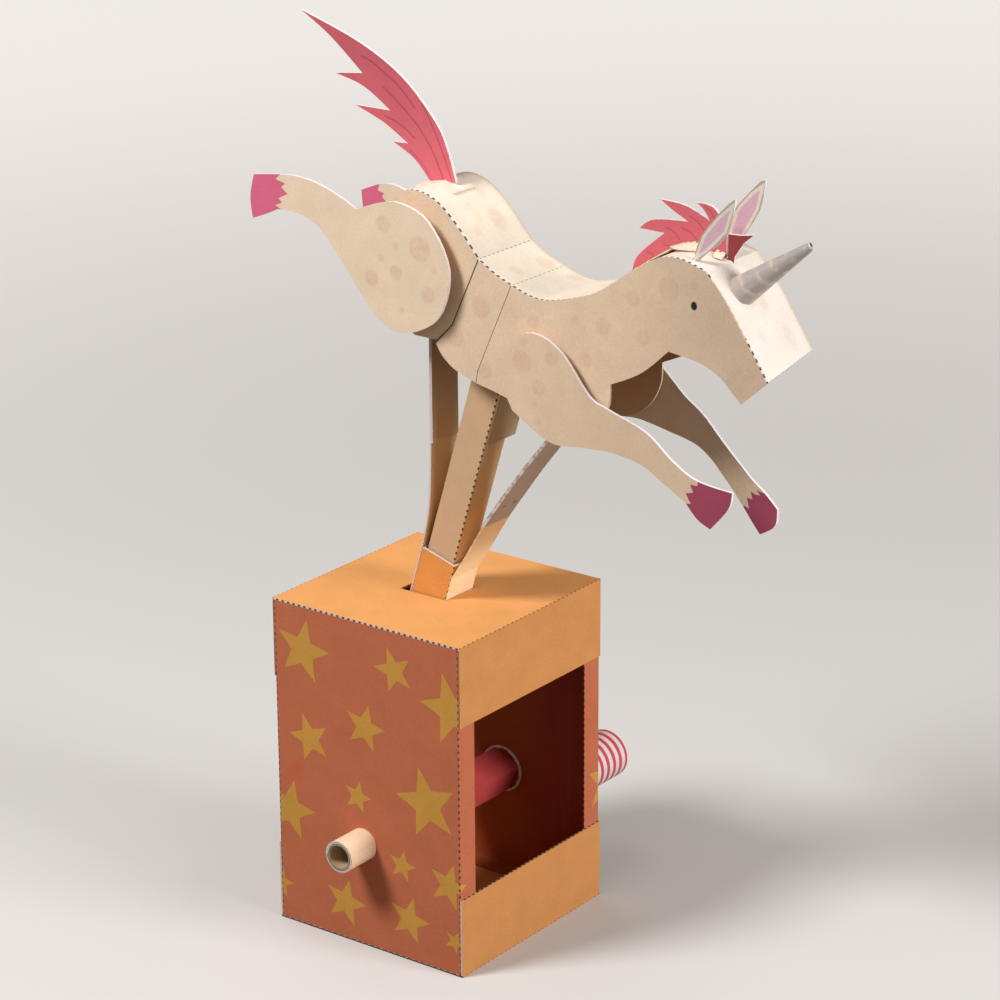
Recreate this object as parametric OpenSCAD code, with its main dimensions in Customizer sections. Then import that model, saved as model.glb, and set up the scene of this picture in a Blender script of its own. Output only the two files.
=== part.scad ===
// Crank-driven card automaton: a leaping unicorn on a star-printed box.
// X runs towards the unicorn's head, -Y towards the viewer, Z up.
// The origin is the middle of the box's base, on the table.

/* [Card] */
// Thickness of the folded card
card = 0.6; // [0.4:0.1:0.8]
// Thickness of the doubled card of the legs, tail, mane and ears
doubled = 0.9; // [0.7:0.1:1.2]
// Gap between a turning piece and its hole or sleeve
play = 0.1; // [0.05:0.05:0.3]
// Gap between two moving pieces that only pass each other
clear = 0.4; // [0.3:0.1:0.6]

/* [Box] */
// Length of the box, along the unicorn
box_w = 70; // [66:1:80]
// Depth of the box, along the crank shaft
box_d = 70; // [66:1:80]
// Height of the box
box_h = 105; // [100:1:115]
// Width of the star walls' side flanges
flange = 7.5; // [5:0.5:9]
// Height of the orange flaps above and below the windows
flap = 25; // [15:1:28]

/* [Crank] */
// Place of the crank shaft along the box
shaft_x = -2; // [-4:0.5:2]
// Height of the crank shaft
shaft_z = 33.5; // [31:0.5:38]
// Throw of the crank pin
throw = 17.6; // [14:0.2:18]
// Angle of the crank, from the head's side upwards
crank_angle = 155.5; // [145:0.5:170]
// Width of the square shaft, crank arms, crank pin and push rod
rod_w = 10; // [9:0.5:10.5]
// Outer diameter of the rolled near shaft
tube_d = 10; // [8:0.5:10.5]
// Wall of the rolled tubes
tube_wall = 1.4; // [0.8:0.1:1.8]
// Length of the rolled shaft outside the box
tube_out = 11.5; // [8:0.5:16]
// Distance between the two crank arms
arm_gap = 17; // [15:0.5:20]
// Distance from the shaft to the handle
handle_r = 13.6; // [12:0.2:20]
// Length of the handle grip
grip_len = 27; // [18:0.5:32]
// Wall of the rolled grip and of the rod's ring
roll_wall = 0.7; // [0.5:0.1:1]

/* [Guide] */
// Depth of the sleeve's pivot under the top of the box
pivot_drop = 4.7; // [4:0.1:6]
// Outer width of the square guide sleeve
sleeve_w = 12.4; // [12.2:0.2:13.4]
// Length of the guide sleeve above its pivot
sleeve_up = 18.5; // [14:0.5:22]
// Length of the guide sleeve below its pivot
sleeve_down = 14; // [10:0.5:18]
// Diameter of the rolled pivot pins
pivot_d = 3; // [2:0.2:4]
// Thickness of the flexible strips
strip_t = 0.5; // [0.4:0.1:0.6]

/* [Unicorn] */
// Distance from the pivot to the body's own reference point
rod_reach = 72.9; // [70:0.5:85]
// Lean of the rod inside the body
rod_lean = 16.9; // [14:0.1:20]
// Length of rod above the body's reference point
rod_top = 29; // [22:0.5:31]
// Width of the body
body_w = 26; // [24:0.5:30]
// Gap between the body and the hind legs
hind_gap = 3.2; // [2:0.1:5]
// Gap between the body and the front legs
front_gap = 2.2; // [1.5:0.1:4]
// Diameter of the rolled leg axles
axle_d = 6; // [4:0.5:7]
// Swing of the far hind leg against the near one
hind_stagger = 14; // [0:1:20]
// Outward bend of the far hind leg
hind_splay = 22; // [0:1:25]
// Swing of the far front leg against the near one
front_stagger = 12; // [0:1:20]
// How much shorter the head is on its far side
muzzle_short = 3.4; // [0:0.1:5]
// Length of the horn
horn_len = 29.5; // [24:0.5:34]
// Diameter of the horn at its base
horn_d = 8; // [6:0.5:9]

/* [Hidden] */
$fn = 48;

// Driving places worked out from the sizes above
half_w = box_w / 2;
half_d = box_d / 2;
pivot_z = box_h - pivot_drop;
pin_x = shaft_x + throw * cos(crank_angle);
pin_z = shaft_z + throw * sin(crank_angle);
tilt = atan2(-pin_x, pivot_z - pin_z);
pin_reach = norm([pin_x, pivot_z - pin_z]);
corner_r = rod_w * sqrt(2) / 2;            // half the diagonal of the square shaft
ring_r = corner_r + play;                  // bore of what turns on the square shaft
arm_in = arm_gap / 2;
arm_out = arm_in + rod_w;
handle_gap = 1.5;                          // between the box and the handle arm
handle_in = half_d + handle_gap;
handle_out = handle_in + rod_w;
rock_room = 2.1;                           // free length each end of the slot
slot_x = sleeve_w / 2 + strip_t + rock_room;
slot_y = sleeve_w / 2 + card;
half_b = body_w / 2;
side_y = half_b - card;                    // inner face of a body side
hind_y = half_b + hind_gap;                // inner face of the hind legs
front_y = half_b + front_gap;              // inner face of the front legs

// Smooth curve through hand-chosen points
steps = 5;
function blend(a, b, c, d, t) =
    0.5 * (2 * b + (c - a) * t + (2 * a - 5 * b + 4 * c - d) * t * t + (3 * b - a - 3 * c + d) * t * t * t);
function curve(p) =
    [for (i = [0:len(p) - 2]) for (k = [0:steps - 1])
        blend(p[max(i - 1, 0)], p[i], p[i + 1], p[min(i + 2, len(p) - 1)], k / steps)];
function curve_to_end(p) = concat(curve(p), [p[len(p) - 1]]);
function backwards(p) = [for (i = [len(p) - 1:-1:0]) p[i]];
// The same curve moved to the right of its direction by d
function beside(c, d) =
    [for (i = [0:len(c) - 1])
        let (run = c[min(i + 1, len(c) - 1)] - c[max(i - 1, 0)])
        c[i] + d * [run.y, -run.x] / norm(run)];
function band(c, d) = concat(c, backwards(beside(c, d)));

// Outline of the unicorn's body in X and Z, from its reference point
rump_back = [[-29.5, 33], [-30, 45], [-27, 54.5], [-22, 59.5], [-16, 60.6], [-9.5, 58.4], [-2.7, 52.7], [5.1, 44]];
saddle_back = [[5.1, 44], [10.8, 40.6], [16.7, 38.2]];
neck_back = [[16.7, 38.2], [23, 36.2], [29.5, 36], [38.9, 38.4], [47.3, 41.9], [62.8, 52.4], [72, 55.2], [81.8, 53]];
face_line = [[81.8, 53], [89.4, 44.3], [102.1, 25.1]];
muzzle_line = [[102.1, 25.1], [93.9, 17.7]];
jaw_line = [[87.2, 24.1], [80.6, 26.9], [70.1, 28.4]];
throat_line = [[70.1, 28.4], [60.9, 20.4], [50.8, 15.4]];
chest_line = [[50.8, 15.4], [50.4, 9], [46.5, 2], [39, -2.6], [30, -3], [22.5, 2], [14, 5], [4, 7.2]];
belly_line = [[4, 7.2], [-3.4, 9.8], [-7.8, 12.9], [-10.4, 16.6]];
rump_under = [[-10.4, 17.6], [-18, 17.7], [-25, 22], [-29.5, 33]];
seam_mid = [-4.4, 23.1];                   // bend of the seam between rump and saddle

// Pivots of the legs, and places on the body
hind_axle_at = [-11, 38];
front_axle_at = [28, 13];
hind_bend_x = -31;                         // where the far hind leg bends outwards
horn_seat = 8.8;                           // from the poll down the face to the horn
horn_at = face_line[0] + horn_seat * (face_line[1] - face_line[0]) / norm(face_line[1] - face_line[0]);
horn_y = -3.5;
horn_rise = 36.5;                          // horn's angle above the level
ear_at = [76.5, 54.4];
ear_y = half_b - 3.2;
forelock_at = [80.8, 53.6];

// Frames: the shaft, the tilted rod with its zero at the pivot, and the body
module at_shaft() translate([shaft_x, 0, shaft_z]) rotate([0, -crank_angle, 0]) children();
module at_pivot() translate([0, 0, pivot_z]) rotate([0, tilt, 0]) children();
module at_body() at_pivot() translate([0, 0, rod_reach]) rotate([0, -rod_lean, 0]) children();
// An outline in X and Z, made a plate from y to y + t
module plate(y, t) translate([0, y + t, 0]) rotate([90, 0, 0]) linear_extrude(t) children();
// The same plate, on the near or the far side
module plate_on(side, y, t) plate(side > 0 ? y : -y - t, t) children();
module bar(x1, x2, y1, y2, z1, z2) translate([x1, y1, z1]) cube([x2 - x1, y2 - y1, z2 - z1]);
// A round rod or bore along Y at x and z
module round_y(d, y1, y2, x = 0, z = 0)
    translate([x, y1, z]) rotate([-90, 0, 0]) cylinder(d = d, h = y2 - y1);
module square_tube_y(w, y1, y2) difference() {
    bar(-w / 2, w / 2, y1, y2, -w / 2, w / 2);
    bar(card - w / 2, w / 2 - card, y1 - 1, y2 + 1, card - w / 2, w / 2 - card);
}
module square_tube_z(w, z1, z2) difference() {
    bar(-w / 2, w / 2, -w / 2, w / 2, z1, z2);
    bar(card - w / 2, w / 2 - card, card - w / 2, w / 2 - card, z1 - 1, z2 + 1);
}
module rolled_tube_y(d, wall, y1, y2) difference() {
    round_y(d, y1, y2);
    round_y(d - 2 * wall, y1 - 1, y2 + 1);
}

// ---- Box ----
// One star-printed wall: panel, side flanges, and glue tabs above and below
module star_wall() difference() {
    bar(card - half_w, half_w - card, -half_d, flange - half_d, card, box_h - card);
    bar(2 * card - half_w, half_w - 2 * card, card - half_d, flange - half_d + 1, 2 * card, box_h - 2 * card);
}
module front_wall() color("chocolate") difference() {
    star_wall();
    round_y(tube_d + 2 * play, -half_d - 1, flange - half_d, shaft_x, shaft_z);
}
module back_wall() color("chocolate") difference() {
    mirror([0, 1, 0]) star_wall();
    round_y(2 * ring_r, half_d - flange, half_d + 1, shaft_x, shaft_z);
}
// A plate with a flap on each of the two window sides, folded towards +Z
module flapped_plate() {
    bar(-half_w, half_w, -half_d, half_d, 0, card);
    for (side = [-1, 1])
        bar(side * half_w - (side > 0 ? card : 0), side * half_w + (side > 0 ? 0 : card),
            -half_d, half_d, 0, flap);
}
module top_panel() color("orange") difference() {
    translate([0, 0, box_h]) mirror([0, 0, 1]) flapped_plate();
    bar(-slot_x, slot_x, -slot_y, slot_y, box_h - card - 1, box_h + 1);
}
module base_panel() color("orange") flapped_plate();

// Folded ears under the top panel that carry the sleeve's pivot pins
lug_w = 12;
lug_drop = 5;                              // below the pivot
lug_tab = 8;                               // glued under the top panel
lug_in = slot_y + clear;
module pivot_ear(side) mirror([0, side > 0 ? 0 : 1, 0]) difference() {
    union() {
        bar(-lug_w / 2, lug_w / 2, lug_in, lug_in + card, pivot_z - lug_drop, box_h - card);
        bar(-lug_w / 2, lug_w / 2, lug_in, lug_in + lug_tab, box_h - 2 * card, box_h - card);
    }
    round_y(pivot_d + 2 * play, lug_in - 1, lug_in + card + 1, 0, pivot_z);
}
module pivot_ear_near() color("orange") pivot_ear(-1);
module pivot_ear_far() color("orange") pivot_ear(1);

// ---- Crank: along Y in the shaft's frame, its throw along +X ----
module crank_shaft_near() color("wheat")
    at_shaft() rolled_tube_y(tube_d, tube_wall, -half_d - tube_out, -arm_out);
// A square arm from the shaft out to reach, closed at the shaft and open past its reach
module crank_arm(y1, reach) difference() {
    bar(-rod_w / 2, reach + rod_w / 2, y1, y1 + rod_w, -rod_w / 2, rod_w / 2);
    bar(card - rod_w / 2, reach + rod_w, y1 + card, y1 + rod_w - card, card - rod_w / 2, rod_w / 2 - card);
}
module crank_arm_near() color("firebrick") at_shaft() crank_arm(-arm_out, throw);
module crank_arm_far() color("firebrick") at_shaft() crank_arm(arm_in, throw);
module crank_shaft_far() color("firebrick") at_shaft() square_tube_y(rod_w, arm_out, handle_in);
// The handle stands opposite the crank pin
module handle_arm() color("firebrick") at_shaft() mirror([1, 0, 0]) crank_arm(handle_in, handle_r);
module at_handle() at_shaft() translate([-handle_r, 0, 0]) children();
module handle_pin() color("firebrick")
    at_handle() square_tube_y(rod_w, handle_out, handle_out + clear + grip_len);
module handle_grip() color("crimson") at_handle()
    rolled_tube_y(2 * (ring_r + roll_wall), roll_wall, handle_out + clear, handle_out + clear + grip_len);

// ---- Guide sleeve, rocking on its pivot ----
module guide_sleeve() color("darkorange") at_pivot() square_tube_z(sleeve_w, -sleeve_down, sleeve_up);
pin_end = lug_in + card + 2;
module pivot_pin(side) at_pivot() mirror([0, side > 0 ? 0 : 1, 0]) round_y(pivot_d, sleeve_w / 2, pin_end);
module pivot_pin_near() color("wheat") pivot_pin(-1);
module pivot_pin_far() color("wheat") pivot_pin(1);

// Flexible strips glued on the sleeve's hind and front faces, each stiffened by a
// doubler near the body. Their lines are in X and Z from the body's reference point.
strip_low = 2;                             // glued down to this height above the pivot
function on_sleeve(u, v) =
    [u * cos(rod_lean) + (v - rod_reach) * sin(rod_lean), (v - rod_reach) * cos(rod_lean) - u * sin(rod_lean)];
hind_top = on_sleeve(-sleeve_w / 2, sleeve_up);
front_top = on_sleeve(sleeve_w / 2, sleeve_up - 4);
hind_line = curve_to_end([[-17.7, 29], [-17.9, 0], [-17.9, -17], [-18.8, -36.5], hind_top]);
front_line = curve_to_end([[32.6, 2.6], [23.2, -9.2], [14.4, -20.2], [6.2, -31.4],
                           front_top + [11.2, 17.7], front_top + [4.7, 7.1], front_top]);
hind_doubled = 2 * steps;                  // the doubled stretch of each line
front_doubled = 4 * steps;
module strip(line) plate(-sleeve_w / 2, sleeve_w) polygon(band(line, strip_t));
module hind_strip() color("wheat") at_body() strip(concat(hind_line, [on_sleeve(-sleeve_w / 2, strip_low)]));
module hind_doubler() color("wheat") at_body() strip(backwards([for (i = [0:hind_doubled]) hind_line[i]]));
module front_strip() color("wheat")
    at_body() strip(backwards(concat(front_line, [on_sleeve(sleeve_w / 2, strip_low)])));
module front_doubler() color("wheat") at_body() strip([for (i = [0:front_doubled]) front_line[i]]);

// ---- Push rod, on the crank pin below and in the body above ----
module push_rod() color("wheat") difference() {
    at_pivot() square_tube_z(rod_w, -pin_reach, rod_reach + rod_top);
    round_y(2 * (ring_r + roll_wall), -rod_w, rod_w, pin_x, pin_z);
}
module rod_ring() color("wheat") translate([pin_x, 0, pin_z])
    rolled_tube_y(2 * (ring_r + roll_wall), roll_wall, -sleeve_w / 2, sleeve_w / 2);
// The pin's ends stop just short of the crank arms
module crank_pin() color("firebrick")
    at_shaft() translate([throw, 0, 0]) square_tube_y(rod_w, clear - arm_in, arm_in - clear);
// Tongue on the rod's front face: narrow below the body, as wide as the body inside it
tongue_low = rod_reach - 13.5;
tongue_y = [-3.4, 9];
web_low = rod_reach + 11;
module rod_tongue() color("wheat") at_pivot() {
    bar(rod_w / 2, rod_w / 2 + card, tongue_y[0], tongue_y[1], tongue_low, web_low);
    bar(rod_w / 2, rod_w / 2 + card, -side_y, side_y, web_low, rod_reach + rod_top);
}
module rod_web() color("wheat") at_pivot()
    bar(-rod_w / 2 - card, -rod_w / 2, -side_y, side_y, web_low, rod_reach + rod_top);

// ---- Body: three sections, each with two sides and a strip over the back ----
rump_outline = concat(curve(rump_back), [[5.1, 44], seam_mid], rump_under);
saddle_outline = concat(curve(saddle_back), [[16.7, 38.2]], curve(belly_line), [belly_line[3], seam_mid]);
neck_outline = concat(curve(neck_back), curve(face_line), muzzle_line, curve(jaw_line), curve(throat_line),
                      curve_to_end(chest_line));
body_outline = concat(curve(rump_back), curve(saddle_back), curve(neck_back), curve(face_line), muzzle_line,
                      curve(jaw_line), curve(throat_line), curve(chest_line), curve(belly_line), rump_under);
module body_side(side) at_body() plate_on(side, side_y, card) children();
module axle_hole(at) at_body() round_y(axle_d + 2 * play, -body_w, body_w, at.x, at.y);
module rump_side(side) color("antiquewhite") difference() {
    body_side(side) polygon(rump_outline);
    axle_hole(hind_axle_at);
}
module rump_side_near() rump_side(-1);
module rump_side_far() rump_side(1);
module saddle_side_near() color("antiquewhite") body_side(-1) polygon(saddle_outline);
module saddle_side_far() color("antiquewhite") body_side(1) polygon(saddle_outline);
module neck_side(side) color("antiquewhite") difference() {
    body_side(side) polygon(neck_outline);
    axle_hole(front_axle_at);
}
module neck_side_near() neck_side(-1);
module neck_side_far() difference() {
    neck_side(1);
    beyond_muzzle();
}
module over_strip(line) color("antiquewhite")
    at_body() plate(-side_y, 2 * side_y) difference() {
        polygon(band(line, card));
        children();
    }
neck_curve = curve_to_end(neck_back);
face_curve = curve_to_end(face_line);
module rump_strip() over_strip(curve_to_end(rump_back));
module saddle_strip() over_strip(curve_to_end(saddle_back));
module neck_strip() over_strip(neck_curve);
module face_strip() difference() {
    over_strip(face_curve) polygon(band(neck_curve, card));
    beyond_muzzle();
}
// The head is cut off slanting: shorter on its far side
muzzle_run = muzzle_line[1] - muzzle_line[0];
muzzle_slant = muzzle_short / body_w * [muzzle_run.y, -muzzle_run.x] / norm(muzzle_run);
module slanted() at_body()
    multmatrix([[1, muzzle_slant.x, 0, muzzle_slant.x * half_b], [0, 1, 0, 0],
                [0, muzzle_slant.y, 1, muzzle_slant.y * half_b], [0, 0, 0, 1]]) children();
module beyond_muzzle() slanted() plate(-half_b - 1, body_w + 2)
    polygon(band([muzzle_line[0] - muzzle_run, muzzle_line[1] + muzzle_run], -8));
module muzzle_strip() color("antiquewhite") difference() {
    slanted() plate(-side_y, 2 * side_y) polygon(band(muzzle_line, card));
    at_body() plate(-body_w, 2 * body_w) polygon(band(face_curve, card));
}
// The body's whole outline, to trim what stands on it
module body_block() at_body() plate(-half_b, body_w) polygon(body_outline);

// ---- Tail, mane, forelock, ears and horn ----
tail_edge = [[-12.2, 61], [-15.5, 71], [-19.8, 78.2], [-31.2, 89.2], [-46.8, 97.5], [-68.4, 104.5]];
tail_barbs = [[[-68.4, 104.5], [-57.5, 98], [-45.8, 88.6]],
              [[-56, 87.4], [-45.5, 84.8], [-35.7, 78.9]],
              [[-48.6, 78.9], [-38, 75], [-29.5, 70.1]],
              [[-34.9, 69.9], [-27, 65.8], [-20.6, 59]]];
tail_tab = [[-23, 59.2], [-16, 60.7], [-10, 59], [-10, 59.6], [-16, 61.3], [-23, 59.9]];
tail_tab_w = 10;
module tail() color("indianred") at_body() {
    plate(-doubled / 2, doubled) difference() {
        polygon(concat(curve_to_end(tail_edge), [for (barb = tail_barbs) each curve_to_end(barb)]));
        polygon(body_outline);
    }
    plate(-tail_tab_w / 2, tail_tab_w) difference() {
        polygon(tail_tab);
        polygon(body_outline);
    }
}
mane_tips = [[[49, 43], [51, 49.5], [60, 57.5]],
             [[60, 57.5], [51.6, 57.6]],
             [[51.6, 57.6], [56.5, 60.8], [67.8, 61.9]],
             [[67.8, 61.9], [63, 64.2], [58.5, 66.8]],
             [[58.5, 66.8], [67, 66.2], [74.9, 63.1]],
             [[74.9, 63.1], [73, 65.8], [70.5, 67.7]],
             [[70.5, 67.7], [76, 67], [79.5, 62], [80.5, 54]]];
module mane() color("indianred") at_body() plate(-doubled / 2, doubled) difference() {
    polygon(concat([for (tip = mane_tips) each curve(tip)], [[80.5, 54], [66, 50]]));
    polygon(body_outline);
}
forelock_leaf = [[0, -1.5], [-0.1, 6.8], [3.4, 6.7], [7.1, 7.1], [4.3, 4.6], [1.9, 0.7], [1.6, -1.5]];
forelock_turn = 15;                        // away from the mane's own plane
module forelock() color("brown") difference() {
    at_body() translate([forelock_at.x, 0, forelock_at.y])
        rotate([0, 0, forelock_turn]) plate(-doubled / 2, doubled) polygon(forelock_leaf);
    body_block();
}
ear_leaf_near = [[-0.9, -1.5], [-0.7, 0.9], [-1.6, 3.6], [-2.4, 7], [-2.3, 11], [-1.8, 15.6], [-1, 20.2],
                 [-0.1, 23], [1.4, 19.6], [2.6, 15.5], [3.4, 12.4], [3.1, 8.4], [1.8, 4.9], [1, 1.5], [0.9, -1.5]];
ear_leaf_far = [[-1.4, -1.5], [-3.1, 2.7], [-3.9, 5.8], [-4.2, 9.3], [-3.7, 12], [-2.2, 16.9], [-0.7, 21.1],
                [0.3, 22.1], [0.9, 20.5], [2.2, 13], [1.9, 8.8], [1.3, 4.4], [0.9, -1.5]];
ear_turn = 10;                             // about the ear's own height
module ear(side, leaf, lean) color("antiquewhite") difference() {
    at_body() translate([ear_at.x, side * ear_y, ear_at.y])
        rotate([0, lean, 0]) rotate([0, 0, ear_turn]) plate(-doubled / 2, doubled) polygon(leaf);
    body_block();
}
module ear_near() ear(-1, ear_leaf_near, 34);
module ear_far() ear(1, ear_leaf_far, 25);
horn_sink = 1.5;                           // trimmed off again by the face
module horn() color("lightgray") difference() {
    at_body() translate([horn_at.x, horn_y, horn_at.y]) rotate([0, 90 - horn_rise, 0]) rotate_extrude()
        polygon([[horn_d / 2 - card, -horn_sink], [horn_d / 2, -horn_sink], [1, horn_len], [0.5, horn_len]]);
    body_block();
}

// ---- Legs, each pair glued to the ends of its rolled axle ----
module leg_axle(at, y) at_body() translate([at.x, 0, at.y]) rolled_tube_y(axle_d, tube_wall, -y, y);
module hind_axle() color("wheat") leg_axle(hind_axle_at, hind_y);
module front_axle() color("wheat") leg_axle(front_axle_at, front_y);
// Lever glued on the axle, which the strip pushes
module leg_lever(at, to) color("wheat") at_body() difference() {
    translate([at.x, 0, at.y]) rotate([0, -atan2(to.y - at.y, to.x - at.x), 0])
        bar(0, norm(to - at), -sleeve_w / 2, sleeve_w / 2, -card, card);
    round_y(axle_d, -sleeve_w, sleeve_w, at.x, at.y);
}
module hind_arm() leg_lever(hind_axle_at, hind_line[0] + [strip_t + clear + card, 0]);
module front_arm() leg_lever(front_axle_at, front_line[0] + [-strip_t, clear + card]);

hind_leg_line = [[[-74, 58], [-61, 59.6], [-51.6, 59], [-42.3, 56.2], [-35.7, 53.2]],
                 [[-35.7, 53.2], [-28, 56], [-20, 57.4], [-9.5, 53.3], [-2.2, 40], [-6.3, 25.5], [-19, 19],
                  [-29, 22.5], [-41, 36.4], [-49, 45.2], [-57, 48.6], [-65.2, 48.8]],
                 [[-65.2, 48.8], [-69.8, 46.6], [-74.9, 44.6]],
                 [[-74.9, 44.6], [-75.6, 51.2], [-74, 58]]];
front_leg_line = [[[19.1, 2.8], [15, 12], [17.5, 21.8], [26, 26.7], [35.9, 23], [45.5, 12], [52, 9.1],
                   [64.8, 4.9], [73.2, -1.3], [79.9, -5.1], [86.4, -6.4], [93.6, -6.9]],
                  [[93.6, -6.9], [92.4, -11.8], [86.6, -18.8]],
                  [[86.6, -18.8], [82.3, -16.8], [78.3, -12.7]],
                  [[78.3, -12.7], [70.6, -8.5], [63.2, -4.7], [53.1, -3.2], [42.8, -3.8], [31.7, -4.2], [19.1, 2.8]]];
function leg_outline(lines) = [for (line = lines) each curve(line)];
// Turns what it holds about a leg's axle, in X and Z
module about(at, angle) translate(at) rotate(angle) translate(-at) children();
module hind_leg_near() color("antiquewhite")
    at_body() plate_on(-1, hind_y, doubled) polygon(leg_outline(hind_leg_line));
// The far hind leg bends outwards behind its thigh
module half_leg(x1, x2) plate(hind_y, doubled) intersection() {
    polygon(leg_outline(hind_leg_line));
    translate([x1, 0]) square([x2 - x1, 100]);
}
module hind_leg_far() color("antiquewhite") at_body()
    translate([hind_axle_at.x, 0, hind_axle_at.y]) rotate([0, -hind_stagger, 0])
    translate([-hind_axle_at.x, 0, -hind_axle_at.y]) {
        half_leg(hind_bend_x, 0);
        translate([hind_bend_x, hind_y, 0]) rotate([0, 0, -hind_splay]) translate([-hind_bend_x, -hind_y, 0])
            half_leg(-100, hind_bend_x);
    }
module front_leg_near() color("antiquewhite")
    at_body() plate_on(-1, front_y, doubled) polygon(leg_outline(front_leg_line));
// The far front leg's shin is twisted, so it is narrower than the near one
far_front_leg_line = [[[19.1, 2.8], [15, 12], [17.5, 21.8], [26, 26.7], [35.9, 23.3], [44.5, 19.6], [52.2, 15.2],
                       [57.8, 11.9], [64.7, 9], [72.1, 4.2], [78.3, 0.4], [84.4, -3.2], [89.5, -5.5], [94.3, -8.4]],
                      [[94.3, -8.4], [94.9, -12.2], [93.9, -14.8], [90.6, -18]],
                      [[90.6, -18], [87.2, -15.3], [83.9, -12.5], [78.8, -8.5], [74.3, -5.4], [70.6, -2.9],
                       [65.6, -0.8], [60.7, -0.3], [55.5, -0.4], [49.9, -0.5], [43.4, -1], [36, -3],
                       [28, -3.4], [19.1, 2.8]]];
module front_leg_far() color("antiquewhite") at_body()
    plate_on(1, front_y, doubled) about(front_axle_at, -front_stagger) polygon(leg_outline(far_front_leg_line));

front_wall();
back_wall();
top_panel();
base_panel();
pivot_ear_near();
pivot_ear_far();
crank_shaft_near();
crank_arm_near();
crank_arm_far();
crank_shaft_far();
handle_arm();
handle_pin();
handle_grip();
guide_sleeve();
pivot_pin_near();
pivot_pin_far();
hind_strip();
hind_doubler();
front_strip();
front_doubler();
push_rod();
rod_ring();
crank_pin();
rod_tongue();
rod_web();
rump_side_near();
rump_side_far();
rump_strip();
saddle_side_near();
saddle_side_far();
saddle_strip();
neck_side_near();
neck_side_far();
neck_strip();
face_strip();
muzzle_strip();
tail();
mane();
forelock();
ear_near();
ear_far();
horn();
hind_axle();
hind_arm();
hind_leg_near();
hind_leg_far();
front_axle();
front_arm();
front_leg_near();
front_leg_far();
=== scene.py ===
import math
import bpy
from mathutils import Matrix, Vector


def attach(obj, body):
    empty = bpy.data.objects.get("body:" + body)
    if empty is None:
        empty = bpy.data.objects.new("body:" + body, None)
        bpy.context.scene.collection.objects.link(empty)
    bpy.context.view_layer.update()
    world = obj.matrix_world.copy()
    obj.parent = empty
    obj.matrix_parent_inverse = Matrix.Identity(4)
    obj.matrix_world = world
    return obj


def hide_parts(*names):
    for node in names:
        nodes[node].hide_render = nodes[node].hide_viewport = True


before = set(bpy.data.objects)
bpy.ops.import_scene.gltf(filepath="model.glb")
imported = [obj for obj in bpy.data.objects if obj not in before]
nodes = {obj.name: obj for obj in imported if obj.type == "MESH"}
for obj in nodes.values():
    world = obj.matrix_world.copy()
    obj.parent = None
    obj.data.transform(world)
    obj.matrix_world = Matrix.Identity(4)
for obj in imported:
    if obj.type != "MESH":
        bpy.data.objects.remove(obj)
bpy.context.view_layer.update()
bpy.ops.object.select_all(action="DESELECT")
print("frame loaded:", len(nodes), "nodes")

mm = 0.001

# places that several finishes share, in millimetres and degrees
placesOf = {
    "boxHalf": 35.0, "boxTop": 105.0,
    "body": (21.125, 0.0, 170.072),     # the unicorn's own reference point
    "bodyHalf": 12.9,                   # just inside the body's outer faces
    "faceStart": 81.5,                  # past this the body's outline runs down the face
    "pivot": (0.0, 0.0, 100.3),         # the sleeve's pivot
    "rodTilt": 16.845,
    "shaft": (-2.0, 0.0, 33.5), "crankAngle": 155.5,
    "handle": (10.376, 0.0, 27.860),
    "hindAxle": (-11.0, 38.0), "frontAxle": (28.0, 13.0),       # from the body's reference point
    "hindStagger": 14.0, "hindSplay": 22.0, "hindBend": -31.0, "frontStagger": 12.0,
}

# printed inks and bare card, some made lighter or darker as painted light and shade, as linear colours
inks = {
    "terracotta": (0.510, 0.146, 0.067),
    "ochre": (0.575, 0.290, 0.052),
    "orange": (0.720, 0.330, 0.105),
    # painted shade: a darker copy of the orange for the top's side flaps and the base
    "flapOrange": (0.610, 0.262, 0.082),
    "sleeveOrange": (0.720, 0.305, 0.078),
    "innerOrange": (0.370, 0.085, 0.022),
    "innerRed": (0.330, 0.045, 0.022),
    "red": (0.600, 0.070, 0.072),
    "darkRed": (0.290, 0.045, 0.045),
    "shadedRed": (0.300, 0.040, 0.038),
    "coral": (0.640, 0.128, 0.160),
    # painted light: the hind legs' cream is a little lighter than the body's, for the stronger light on the hind end
    "thighCream": (0.830, 0.655, 0.485),
    "bodyCream": (0.790, 0.595, 0.425),
    "legCream": (0.780, 0.585, 0.415),
    "rollCream": (0.860, 0.630, 0.430),
    "stripCream": (0.880, 0.660, 0.400),
    "rodCream": (0.620, 0.410, 0.245),
    "paleCream": (0.840, 0.735, 0.610),
    "tabCream": (0.820, 0.700, 0.540),
    "tan": (0.520, 0.330, 0.180),
    # a darker, warmer cream: painted shade for the body's inner faces
    "innerCreamShade": (0.560, 0.330, 0.175),
    "innerCard": (0.600, 0.410, 0.240),
    # the hind hooves' pink is lighter than the front ones': partly a deeper ink on the front hooves, partly a
    # painted sheen of light on the hind ones
    "hindHoof": (0.690, 0.138, 0.245),
    "frontHoof": (0.350, 0.062, 0.112),
    "pinkSpot": (0.700, 0.440, 0.340),
    "silver": (0.400, 0.350, 0.325),
    "cutWhite": (0.800, 0.765, 0.790),
    "cutCream": (0.640, 0.510, 0.400),
    "foldInk": (0.045, 0.036, 0.038),
    "foldBrown": (0.260, 0.095, 0.036),
}


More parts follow.
